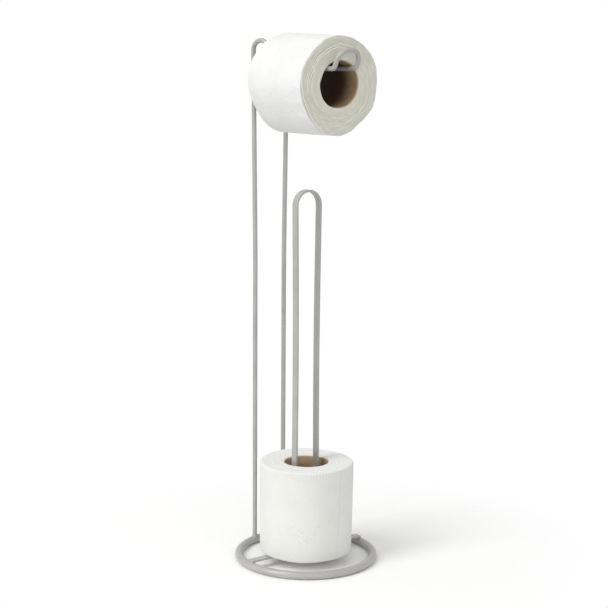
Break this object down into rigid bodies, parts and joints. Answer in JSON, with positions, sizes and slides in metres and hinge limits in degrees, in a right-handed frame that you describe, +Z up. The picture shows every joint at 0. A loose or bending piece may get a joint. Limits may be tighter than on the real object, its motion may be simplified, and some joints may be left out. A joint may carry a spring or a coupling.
{
  "type": "toilet paper holder",
  "caption": "Free-standing bent-wire holder with a round base ring, an arm that carries a toilet roll in use and a post that keeps a reserve roll.",
  "frame": {"origin": "on the floor, at the middle of the base ring", "axes": "+Z up; the arm points to the front along -Y; the reserve post's feet lie along X"},
  "size_m": [0.1608, 0.1608, 0.5879],
  "materials": {
    "coated_metal": "satin powder coat, warm light grey",
    "tissue": "soft matt tissue, white",
    "core_board": "matt brown board"
  },
  "bodies": {
    "stand": {"base_ring": "coated_metal", "stand_wire": "coated_metal", "reserve_post": "coated_metal", "left_upright_weld": "coated_metal", "right_upright_weld": "coated_metal", "left_post_weld": "coated_metal", "right_post_weld": "coated_metal"},
    "top_roll": {"top_roll_paper": "tissue", "top_roll_core": "core_board"},
    "reserve_roll": {"reserve_roll_paper": "tissue", "reserve_roll_core": "core_board"}
  },
  "joints": [
    {"name": "top_roll_spin", "type": "hinge", "parent": "stand", "child": "top_roll", "pos_m": [0, -0.00577, 0.53514], "axis": [0, 0.9992, 0.0391], "continuous": true},
    {"name": "reserve_roll_lift", "type": "slide", "parent": "stand", "child": "reserve_roll", "axis": [0, 0, 1], "range_m": [0, 0.36]}
  ]
}
